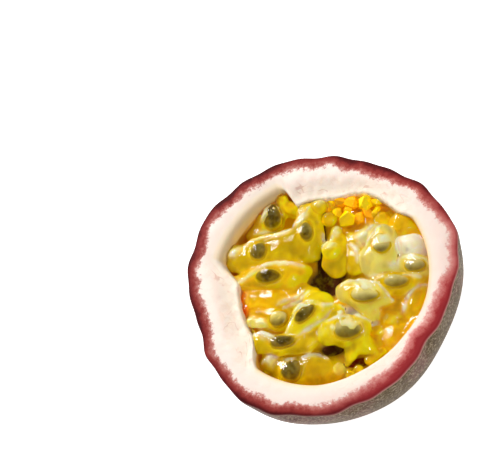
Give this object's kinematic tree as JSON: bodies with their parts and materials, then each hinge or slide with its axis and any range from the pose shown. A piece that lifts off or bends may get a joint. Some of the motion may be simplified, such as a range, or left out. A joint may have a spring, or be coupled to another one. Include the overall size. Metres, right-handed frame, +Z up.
{
  "type": "passion fruit half",
  "caption": "Half of a ripe passion fruit, cut face up: a thin-skinned cup of pale pith filled with a heap of glossy yellow juice sacs.",
  "frame": {"origin": "middle of the bounding box seen from above, at the height of the small flat spot that the fruit rests on", "axes": "+Z up, out of the cut face; -Y towards the side whose skin the picture shows; +X to the right of that side"},
  "size_m": [0.058, 0.0582, 0.0335],
  "materials": {
    "shell": "dull purple-brown skin over soft pale pink pith, which shows on the cut with a crimson edge",
    "pulp": "wet, clear yellow to amber jelly"
  },
  "bodies": {
    "root": {"shell": "shell", "pulp": "pulp"}
  },
  "joints": []
}
